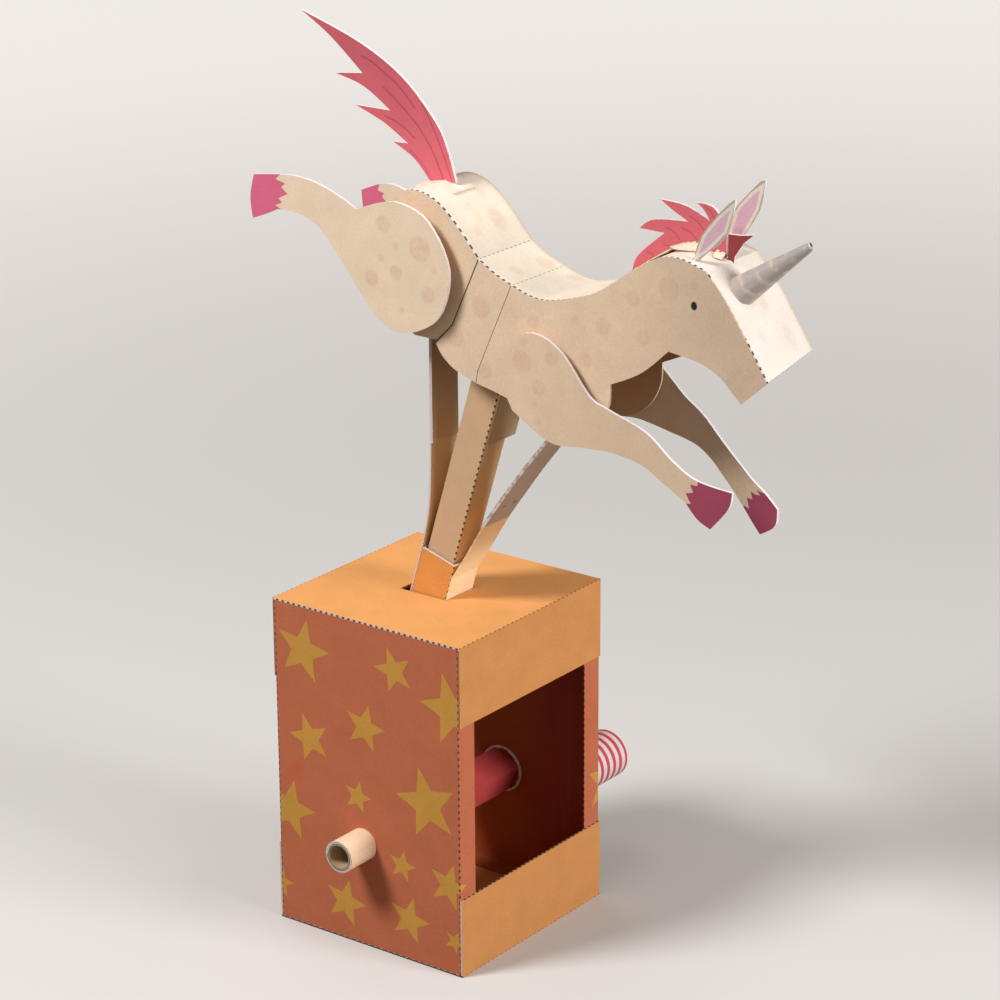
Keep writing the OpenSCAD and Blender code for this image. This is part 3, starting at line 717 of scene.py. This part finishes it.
def paintLeg(which, far=False):
    def paint(place, colour):
        point = bodyPoint(place)
        if far and which == "hind":
            point = unbent(point)
        elif far:
            point = turned(point, placesOf["frontAxle"], -placesOf["frontStagger"])
        spots = spotsOf(point, legPrint[which + "Spots"])
        colour = blendInk(spots * speckled(place), colour, inks["pinkSpot"])
        if which == "hind":
            shift = legPrint["farHindShift"] if far else 0.0
            hoof = hoofMask(point, [(x + shift, z) for x, z in legPrint["hindHoof"]], 0.0, -1.0)
        else:
            # painted shade, darker down the front leg towards the hoof
            legShade = softStep(splitXYZ(point)[0], *legPrint["paintedShadeFrom"]) * legPrint["paintedShadeDepth"]
            colour = scaled(colour, 1.0 - legShade)
            hoof = hoofMask(point, legPrint["farFrontHoof" if far else "frontHoof"], legPrint["frontAxis"], 1.0)
        colour = blendInk(hoof, colour, inks[which + "Hoof"])
        return blendInk(isEdge(place), colour, inks["cutWhite"])
    return paint


# tail, mane, ears and horn
hairPrint = {   # width of each line, then its points
    "tail": [(0.30, [(-46.2, 93.6), (-42.4, 92.4), (-38.3, 90.0), (-34.1, 87.5), (-30.4, 84.6), (-26.8, 80.7)]),
             (0.30, [(-38.4, 85.5), (-34.2, 82.7), (-30.1, 79.5), (-25.9, 75.9), (-21.8, 70.9), (-19.1, 66.4),
                     (-16.7, 61.2)]),
             (0.26, [(-38.1, 77.1), (-33.9, 76.0), (-30.2, 74.2), (-26.9, 71.9)]),
             (0.26, [(-24.0, 82.2), (-21.3, 77.7), (-18.6, 72.8), (-15.9, 66.9), (-13.9, 61.9)]),
             (0.20, [(-28.9, 68.0), (-26.1, 66.2), (-23.3, 63.6), (-20.6, 60.2)])],
    "mane": [(0.22, [(60.4, 59.2), (63.3, 58.3), (65.0, 56.4)]), (0.22, [(65.6, 60.0), (68.6, 59.1), (70.5, 57.3)]),
             (0.22, [(68.2, 63.6), (71.0, 62.3), (73.1, 60.1)]), (0.20, [(59.7, 54.2), (61.3, 54.2), (62.4, 53.3)]),
             (0.20, [(54.3, 51.3), (55.8, 51.0), (56.6, 50.1)]), (0.22, [(73.0, 67.1), (75.0, 66.0), (76.3, 64.1)])],
    "line": (0.400, 0.055, 0.085), "lines": 0.65,
    "tailShade": (98.0, 60.0), "tailTop": 0.84, "tailGain": 0.32,      # the tail is darker towards its tip
    "tabTop": 61.4, "cardHalf": 0.5,
    "edge": (0.880, 0.830, 0.840), "grime": (0.260, 0.200, 0.210),
    "tailGrime": 0.08, "maneGrime": 0.30,
}


def paintHair(which):
    def paint(place, colour):
        point = bodyPoint(place)
        fromMiddle = abs(place["xyz"][1])
        lines = strokesOf(point, hairPrint[which]) * hairPrint["lines"]
        colour = blendInk(lines, colour, hairPrint["line"])
        if which == "tail":
            z = splitXYZ(point)[2]
            shade = softStep(z, *hairPrint["tailShade"]) * hairPrint["tailGain"] + hairPrint["tailTop"]
            colour = scaled(colour, shade)
            tab = (z < hairPrint["tabTop"]) * (fromMiddle > hairPrint["cardHalf"] - 0.04)
            colour = blendInk(tab, colour, inks["paleCream"])
        edge = isEdge(place) * (fromMiddle < hairPrint["cardHalf"])
        grime = patchy(place["point"], 1.6, 0.40, 0.62) * hairPrint[which + "Grime"]
        return blendInk(edge, colour, blendInk(grime, hairPrint["edge"], hairPrint["grime"]))
    return paint


def paintForelock(place, colour, turn=15.0):
    a = math.radians(turn)
    return blendInk(isEdge(place, (-math.sin(a), math.cos(a), 0)), colour, inks["cutWhite"])


earPrint = {
    "at": (76.5, 54.4), "y": 9.8, "turn": 10.0, "border": 1.15, "nearLean": 34.0, "farLean": 25.0,
    "nearLeaf": [(-0.8, -0.5), (-1.6, 3.6), (-2.4, 7.0), (-2.3, 11.0), (-1.8, 15.6), (-0.1, 23.0), (1.4, 19.6),
                 (3.4, 12.4), (3.1, 8.4), (1.8, 4.9), (0.9, -0.5)],
    "farLeaf": [(-3.1, 0.7), (-4.2, 9.3), (-3.7, 12.0), (-2.2, 16.9), (0.3, 22.1), (0.9, 20.5), (2.2, 13.0),
                (1.9, 8.8), (1.3, 0.4)],
    "inner": (0.740, 0.465, 0.560), "line": (0.230, 0.160, 0.120), "lineWidth": 0.28,
    "cut": (0.420, 0.340, 0.280), "whiteTip": (16.0, 21.0),
}


def paintEar(which, side):
    def paint(place, colour):
        turn = (Matrix.Rotation(math.radians(earPrint[which + "Lean"]), 3, "Y")
                @ Matrix.Rotation(math.radians(earPrint["turn"]), 3, "Z"))
        bx, by, bz = placesOf["body"]
        ex, ez = earPrint["at"]
        away = vecCalc("SUBTRACT", place["point"], (bx + ex, side * earPrint["y"], bz + ez))
        leaf = earPrint[which + "Leaf"]
        depths = []     # inwards from each side of the leaf's outline
        for (u1, w1), (u2, w2) in zip(leaf, leaf[1:] + leaf[:1]):
            inward = Vector((w2 - w1, u1 - u2)).normalized()
            along = turn.col[0] * inward[0] + turn.col[2] * inward[1]
            depths.append(vecCalc("DOT_PRODUCT", away, tuple(along)) - inward.dot((u1, w1)))
        depth = smallest(*depths)
        border = earPrint["border"]
        colour = blendInk(maskOf(depth - (border - 0.3), 4.0) * 0.5, colour, inks["cutWhite"])
        colour = blendInk(maskOf(depth - border, 4.0), colour, earPrint["inner"])
        colour = blendInk((depth < earPrint["lineWidth"]) * 0.55, colour, earPrint["line"])
        tip = softStep(vecCalc("DOT_PRODUCT", away, tuple(turn.col[2])), *earPrint["whiteTip"])
        cut = blendInk(tip, earPrint["cut"], inks["cutWhite"])
        return blendInk(isEdge(place, tuple(turn.col[1])), colour, cut)
    return paint


rolledHorn = {
    "at": (87.59, -3.5, 46.37), "rise": 36.5,       # from the body's reference point
    "baseRadius": 4.0, "tipRadius": 0.72, "length": 27.6, "sunk": 4.2,
    "turns": 1.33, "climb": 2.0, "paper": 0.22, "seam": 205.0, "steps": 56, "cuts": 8,
    "faceAt": (85.6, 0, 48.7), "faceNormal": (0.753, 0, 0.658),     # the face's plane, where the roll ends
    "bandPitch": 5.4, "band": (0.640, 0.520, 0.390), "tipFrom": (14.0, 26.0), "tip": (0.300, 0.290, 0.300),
    "rimWidth": 0.75, "smoothUpTo": 40.0,
}


def paintHorn(place, colour):
    foot = Vector(placesOf["body"]) + Vector(rolledHorn["at"])
    along, up = turnedAxes(place["point"], rolledHorn["rise"], tuple(foot))
    angle = calc("ARCTAN2", place["xyz"][1] - foot.y, up) / (2 * math.pi)
    turns = calc("FRACT", along / rolledHorn["bandPitch"] + angle)
    band = calc("SUBTRACT", 1.0, abs(turns - 0.5) * 4.0, clamp=True)
    patches = patchy(place["point"], 2.4, 0.38, 0.62)
    colour = blendInk(band * patches * 0.85, colour, rolledHorn["band"])
    colour = blendInk(softStep(along, *rolledHorn["tipFrom"]) * 0.35, colour, rolledHorn["tip"])
    rim = along > rolledHorn["length"] - rolledHorn["rimWidth"]
    return blendInk(rim * 0.8, colour, inks["cutWhite"])


# small card pieces
glueTabs = {    # fold line x and z above the body's own point, reach across, lift of the free edge
    "mane_tab_low": [(50.0, 45.6, -3.0, 0.0), (52.5, 47.2, -5.4, 0.0), (56.7, 50.0, -7.0, 0.0),
                     (59.8, 52.0, -7.2, 0.1), (62.7, 53.7, -6.9, 0.2), (64.4, 54.7, -5.9, 0.3)],
    "mane_tab_high": [(65.0, 55.2, -5.4, 1.5), (66.5, 55.8, -6.6, 1.0), (68.0, 56.2, -6.9, 0.5),
                      (70.8, 56.8, -6.6, 0.1), (73.5, 56.6, -5.2, 0.0)],
    "forelock_tab": [(77.4, 55.6, -2.6, 0.0), (78.6, 55.4, -3.9, 0.0), (80.4, 54.9, -3.2, 0.0)],
}
tabCard = {
    "inner": -0.55, "paper": 0.3, "above": 0.3,     # the fold's y, thickness, height over the neck
    "dotsAt": -1.0, "dot": 0.36,
    "browned": (0.600, 0.400, 0.235), "edge": (0.330, 0.225, 0.150), "dots": (0.150, 0.080, 0.070),
}
collar = {
    "radius": 7.6, "corners": 40, "paper": 0.25, "y": 34.1, "inset": 0.5, "step": 0.08,
    "tornFrom": (7.2, 7.5), "torn": (0.800, 0.720, 0.700),
}


def paintTab(place, colour):
    x, y, z = place["xyz"]
    browned = patchy(place["point"], 1.8, 0.45, 0.70) * 0.35
    colour = blendInk(browned, colour, tabCard["browned"])
    colour = blendInk(abs(place["facing"][2]) < 0.45, colour, tabCard["edge"])
    dots = dotRow(x, y - tabCard["dotsAt"], tabCard["dot"], edgePitch)
    return blendInk(dots, colour, tabCard["dots"])


def paintCollar(place, colour):
    reach, angle = reachFrom(place, placesOf["shaft"])
    ragged = reach + noiseOf(place["point"], 1.5) * 1.2
    return blendInk(softStep(ragged, *collar["tornFrom"]), colour, collar["torn"])


# every node gets its finish
cards = {       # material: ink, what is painted on it, nodes that wear it, changes to the look
    "starCardFront": ("terracotta", paintStarWall(1), ["front_wall"]),
    "starCardBack": ("terracotta", paintStarWall(-1), ["back_wall"]),
    "orangeCardTop": ("orange", paintTop, ["top_panel"]),
    "orangeCardBase": ("flapOrange", paintBase, ["base_panel"]),
    "orangeCardInner": ("innerOrange", None, ["pivot_ear_near", "pivot_ear_far"]),
    "orangeSleeve": ("sleeveOrange", paintSleeve, ["guide_sleeve"]),
    "creamRolledTube": ("rollCream", paintTube, ["crank_shaft_near"]),
    "creamRolledPins": ("rollCream", None, ["pivot_pin_near", "pivot_pin_far", "hind_axle", "front_axle"]),
    "redSquareShaft": ("red", paintSquare(placesOf["shaft"]),
                       ["crank_arm_near", "crank_arm_far", "crank_shaft_far", "crank_pin", "handle_arm"]),
    "redHandle": ("red", paintSquare(placesOf["handle"]), ["handle_pin"]),
    "stripedGrip": ("red", paintGrip, ["handle_grip"], {"roughness": 0.6}),
    "creamHindStrip": ("tan", paintHindStrip, ["hind_strip", "hind_doubler"]),
    "creamFrontStrip": ("stripCream", paintFrontStrip, ["front_strip", "front_doubler"]),
    "creamPushRod": ("rodCream", paintRod, ["push_rod"]),
    "creamInnerCard": ("innerCard", None, ["rod_ring", "rod_tongue", "rod_web", "hind_arm", "front_arm"]),
    "spottedBodyCard": ("bodyCream", paintBodySide,
                        [part + "_side_" + side for part in ("rump", "saddle", "neck") for side in ("near", "far")]),
    "paleBackCard": ("paleCream", paintBack,
                     ["rump_strip", "saddle_strip", "neck_strip", "face_strip", "muzzle_strip"]),
    "hindLegNear": ("thighCream", paintLeg("hind"), ["hind_leg_near"]),
    "hindLegFar": ("thighCream", paintLeg("hind", far=True), ["hind_leg_far"]),
    "frontLegNear": ("legCream", paintLeg("front"), ["front_leg_near"]),
    "frontLegFar": ("legCream", paintLeg("front", far=True), ["front_leg_far"]),
    "coralTail": ("coral", paintHair("tail"), ["tail"]),
    "coralMane": ("coral", paintHair("mane"), ["mane"]),
    "redForelock": ("darkRed", paintForelock, ["forelock"]),
    "earCardNear": ("paleCream", paintEar("near", -1), ["ear_near"]),
    "earCardFar": ("paleCream", paintEar("far", 1), ["ear_far"]),
    "silverHornPaper": ("silver", paintHorn, ["horn"], {"roughness": 0.40, "specular": 0.55, "waveBump": 0.6}),
    "creamGlueTabs": ("tabCream", paintTab, []),
    "tornCollar": ("shadedRed", paintCollar, []),
}
finishes = {}


def dress(piece, finish):
    piece.data.materials.clear()
    piece.data.materials.append(finishes[finish])


for name, (ink, paint, wearers, *changes) in cards.items():
    finishes[name] = cardMaterial(name, ink, paint, **(changes[0] if changes else {}))
    for wearer in wearers:
        dress(nodes[wearer], name)
print("finishes made:", len(finishes))


# making sheets of card, each riding on its body
touching = 1e-6


def pickVertices(piece, test):
    bpy.ops.object.mode_set(mode="EDIT")
    bpy.ops.mesh.select_mode(type="VERT")
    bpy.ops.mesh.select_all(action="DESELECT")
    bpy.ops.object.mode_set(mode="OBJECT")
    for vertex in piece.data.vertices:
        vertex.select = test(vertex.co)
    bpy.ops.object.mode_set(mode="EDIT")


def pickAll():
    bpy.ops.object.mode_set(mode="EDIT")
    bpy.ops.mesh.select_all(action="SELECT")


def moveVertex(piece, start, end):
    pickVertices(piece, lambda co: (co - start).length < touching)
    bpy.ops.transform.translate(value=end - start)


def settleTransform():
    bpy.ops.object.transform_apply(location=True, rotation=True, scale=True)


def addPlane(name, location=(0, 0, 0)):
    bpy.ops.object.select_all(action="DESELECT")
    bpy.ops.mesh.primitive_plane_add(size=2 * mm, location=location)
    piece = bpy.context.object
    piece.name = name
    settleTransform()
    return piece


def finishSheet(piece, thickness, offset, finish, bodyName):
    bpy.ops.object.mode_set(mode="OBJECT")
    wall = piece.modifiers.new("cardThickness", "SOLIDIFY")
    wall.thickness, wall.offset = thickness * mm, offset
    bpy.ops.object.modifier_apply(modifier=wall.name)
    pickAll()
    bpy.ops.mesh.remove_doubles(threshold=touching)
    bpy.ops.mesh.normals_make_consistent(inside=False)
    bpy.ops.object.mode_set(mode="OBJECT")
    dress(piece, finish)
    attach(piece, bodyName)


def cardStrip(name, rows, thickness, finish, bodyName):
    rows = [[Vector(p) * mm for p in row] for row in rows]
    corner = rows[0][0]
    piece = addPlane(name, corner)
    for (x, y), goal in zip(((-1, -1), (-1, 1), (1, -1), (1, 1)), rows[0] + rows[1]):
        moveVertex(piece, corner + Vector((x * mm, y * mm, 0)), goal)
    for last, new in zip(rows[1:], rows[2:]):
        step = (new[0] + new[1] - last[0] - last[1]) / 2
        pickVertices(piece, lambda co: min((co - p).length for p in last) < touching)
        bpy.ops.mesh.extrude_edges_move(TRANSFORM_OT_translate={"value": step})
        for old, goal in zip(last, new):
            moveVertex(piece, old + step, goal)
    finishSheet(piece, thickness, 0.0, finish, bodyName)


def neckTop(x, y, start=300):
    # height of the neck's card under a point
    return nodes["neck_strip"].ray_cast(Vector((x, y, start)) * mm, Vector((0, 0, -1)))[1].z / mm


for name, foldLine in glueTabs.items():
    bx, by, bz = placesOf["body"]
    rows = []
    for x, z, reach, lift in foldLine:
        ground = neckTop(bx + x, reach) + tabCard["above"]
        rows.append([(bx + x, tabCard["inner"], max(bz + z, ground)), (bx + x, reach, ground + lift)])
    cardStrip(name, rows, tabCard["paper"], "creamGlueTabs", "unicorn")
print("glue tabs made:", len(glueTabs))

# the horn is one strip of paper rolled into a cone, its free edge running down the outside
bodyAt = Vector(placesOf["body"])
horn = addPlane("rolled_horn")
pickVertices(horn, lambda co: co.x < 0)
bpy.ops.mesh.delete(type="VERT")
bpy.ops.object.mode_set(mode="OBJECT")
taper = (rolledHorn["baseRadius"] - rolledHorn["tipRadius"]) / rolledHorn["length"]
climbed = rolledHorn["climb"] * rolledHorn["turns"]
for y, height in ((-mm, -rolledHorn["sunk"]), (mm, rolledHorn["length"] - climbed)):
    moveVertex(horn, Vector((mm, y, 0)), Vector((rolledHorn["baseRadius"] - taper * height, 0, height)) * mm)
bpy.ops.mesh.select_all(action="SELECT")
bpy.ops.mesh.subdivide(number_cuts=rolledHorn["cuts"])
bpy.ops.object.mode_set(mode="OBJECT")
roll = horn.modifiers.new("roll", "SCREW")
roll.angle, roll.screw_offset, roll.axis = 2 * math.pi * rolledHorn["turns"], climbed * mm, "Z"
roll.steps = roll.render_steps = rolledHorn["steps"]
bpy.ops.object.modifier_apply(modifier=roll.name)
horn.data.transform(Matrix.Rotation(math.radians(rolledHorn["seam"]), 4, "Z"))
horn.rotation_euler = (0, math.radians(90 - rolledHorn["rise"]), 0)
horn.location = (bodyAt + Vector(rolledHorn["at"])) * mm
settleTransform()
pickAll()
bpy.ops.mesh.bisect(plane_co=(bodyAt + Vector(rolledHorn["faceAt"])) * mm, plane_no=rolledHorn["faceNormal"],
                    clear_inner=True)
finishSheet(horn, rolledHorn["paper"], -1.0, "silverHornPaper", "unicorn")
bpy.ops.object.shade_smooth_by_angle(angle=math.radians(rolledHorn["smoothUpTo"]))
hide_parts("horn")

# torn paper round the shaft where it goes through the back wall
bpy.ops.object.select_all(action="DESELECT")
cx, cy, cz = placesOf["shaft"]
bpy.ops.mesh.primitive_circle_add(vertices=collar["corners"], radius=collar["radius"] * mm, fill_type="NGON",
                                  location=(cx * mm, collar["y"] * mm, cz * mm), rotation=(math.radians(90), 0, 0))
ring = bpy.context.object
ring.name = "shaft_collar"
settleTransform()
pickAll()
bpy.ops.mesh.inset(thickness=collar["inset"] * mm, depth=collar["step"] * mm)
finishSheet(ring, collar["paper"], 0.0, "tornCollar", "crank")
print("horn and collar made")


# floor, light and camera; sizes and places in metres
studio = {
    "floorHalf": 3.0,
    "floorColour": (0.62, 0.61, 0.60),
    "farColour": (0.96, 0.95, 0.94), "farFrom": (0.25, 1.3),       # floor far off, where the lamps fade
    "floorBounce": (0.14, 0.13, 0.12),                              # what the floor throws back at the toy
    "glowColour": (1.0, 0.99, 0.98), "glow": 0.42, "glowFrom": (0.35, 1.6),
    "lights": {     # size, power, place, aimed at
        "keyLight": (0.40, 15.6, (-0.43, -0.76, 1.08), (0, 0, 0.15)),
        "rightLight": (0.60, 12.6, (1.18, 0.10, 0.50), (0, 0, 0.12)),
        "topLight": (0.60, 1.2, (-0.60, 0.30, 1.15), (0, 0, 0.12)),
    },
    "worldColour": (1.0, 0.88, 0.76), "worldStrength": 0.30,
}
bpy.ops.mesh.primitive_plane_add(size=2 * studio["floorHalf"], location=(0, 0, 0))
floor = bpy.context.object
floor.name = "floor"
pickAll()
bpy.ops.mesh.subdivide(number_cuts=4)
bpy.ops.object.mode_set(mode="OBJECT")
floorMaterial = bpy.data.materials.new("paleFloor")
floorMaterial.use_nodes = True
tree = floorMaterial.node_tree
floorShader = tree.nodes["Principled BSDF"].inputs
path = makeNode(tree, "ShaderNodeLightPath").outputs
seen = largest(Field(path["Is Camera Ray"]), Field(path["Is Glossy Ray"]))
away = vecCalc("LENGTH", Field(makeNode(tree, "ShaderNodeTexCoord").outputs["Object"]))
shown = blendInk(softStep(away, *studio["farFrom"]), studio["floorColour"], studio["farColour"])
feed(floorShader["Base Color"], blendInk(seen, studio["floorBounce"], shown))
# a pale glow far from the piece keeps the ground even where the lamps no longer reach
feed(floorShader["Emission Color"], studio["glowColour"])
feed(floorShader["Emission Strength"], softStep(away, *studio["glowFrom"]) * studio["glow"] * seen)
feed(floorShader["Roughness"], 0.9)
floor.data.materials.append(floorMaterial)

for name, (size, power, at, towards) in studio["lights"].items():
    bpy.ops.object.light_add(type="AREA", location=at)
    light = bpy.context.object
    light.name = name
    light.data.shape = "DISK"
    light.data.size = size
    light.data.energy = power
    light.rotation_mode = "QUATERNION"
    light.rotation_quaternion = (Vector(towards) - Vector(at)).to_track_quat("-Z", "Y")

world = bpy.data.worlds.new("studioWorld")
bpy.context.scene.world = world
world.use_nodes = True
background = world.node_tree.nodes["Background"].inputs
feed(background["Color"], studio["worldColour"])
feed(background["Strength"], studio["worldStrength"])

view = {    # place in millimetres, angles in degrees, focal length in pixels of the frame
    "azimuth": 37.008, "elevation": 19.503, "roll": -0.361, "at": (602.29, -767.70, 478.32),
    "focal": 3488.43, "frameWidth": 1000.0, "sensor": 36.0,
}
bpy.ops.object.camera_add()
camera = bpy.context.object
camera.name = "photoCamera"
a, e, roll = (math.radians(view[k]) for k in ("azimuth", "elevation", "roll"))
back = Vector((math.sin(a) * math.cos(e), -math.cos(a) * math.cos(e), math.sin(e)))
right = (-back).cross(Vector((0, 0, 1))).normalized()
up = right.cross(-back)
right, up = right * math.cos(roll) + up * math.sin(roll), up * math.cos(roll) - right * math.sin(roll)
turn = Matrix((right, up, back)).transposed().to_4x4()
camera.matrix_world = Matrix.Translation(Vector(view["at"]) * mm) @ turn
camera.data.sensor_width = view["sensor"]
camera.data.lens = view["focal"] * view["sensor"] / view["frameWidth"]
camera.data.clip_start, camera.data.clip_end = 0.01, 20.0
bpy.context.scene.camera = camera
bpy.context.scene.view_settings.view_transform = "Standard"
print("floor, lights and camera set")
